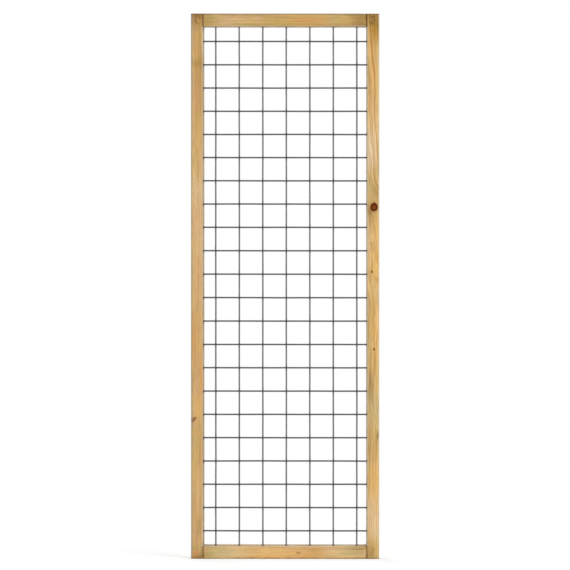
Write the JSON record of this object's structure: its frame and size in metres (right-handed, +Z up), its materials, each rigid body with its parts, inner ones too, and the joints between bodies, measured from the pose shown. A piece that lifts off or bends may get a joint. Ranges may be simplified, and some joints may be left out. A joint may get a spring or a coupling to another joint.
{
  "type": "mesh trellis",
  "caption": "Tall narrow garden trellis panel: a layered timber frame with a welded steel wire mesh trapped in it, for climbing plants.",
  "frame": {"origin": "under the middle of the panel's depth, at the middle of its bottom edge", "axes": "+Z up along the stiles, +X to the right along the rails seen from the front, -Y out of the front face"},
  "size_m": [0.6, 0.0432, 1.74],
  "materials": {
    "front_timber": "planed softwood, pressure treated, honey tan with olive and orange streaks and a few dark knots",
    "rear_timber": "planed softwood, pressure treated, slightly greyer",
    "galvanised_wire": "galvanised, dull grey, darker at the welds",
    "zinc_screw": "zinc plated, passivated, satin"
  },
  "bodies": {
    "root": {"front_bottom_rail": "front_timber", "front_left_stile": "front_timber", "front_right_stile": "front_timber", "front_top_rail": "front_timber", "rear_bottom_rail": "rear_timber", "rear_left_stile": "rear_timber", "rear_right_stile": "rear_timber", "rear_top_rail": "rear_timber", "screw_bottom_left_corner_1": "zinc_screw", "screw_bottom_left_corner_2": "zinc_screw", "screw_bottom_rail_1": "zinc_screw", "screw_bottom_rail_2": "zinc_screw", "screw_bottom_right_corner_1": "zinc_screw", "screw_bottom_right_corner_2": "zinc_screw", "screw_left_stile_1": "zinc_screw", "screw_left_stile_2": "zinc_screw", "screw_left_stile_3": "zinc_screw", "screw_left_stile_4": "zinc_screw", "screw_left_stile_5": "zinc_screw", "screw_right_stile_1": "zinc_screw", "screw_right_stile_2": "zinc_screw", "screw_right_stile_3": "zinc_screw", "screw_right_stile_4": "zinc_screw", "screw_right_stile_5": "zinc_screw", "screw_top_left_corner_1": "zinc_screw", "screw_top_left_corner_2": "zinc_screw", "screw_top_rail_1": "zinc_screw", "screw_top_rail_2": "zinc_screw", "screw_top_right_corner_1": "zinc_screw", "screw_top_right_corner_2": "zinc_screw", "welded_mesh": "galvanised_wire"}
  },
  "joints": []
}
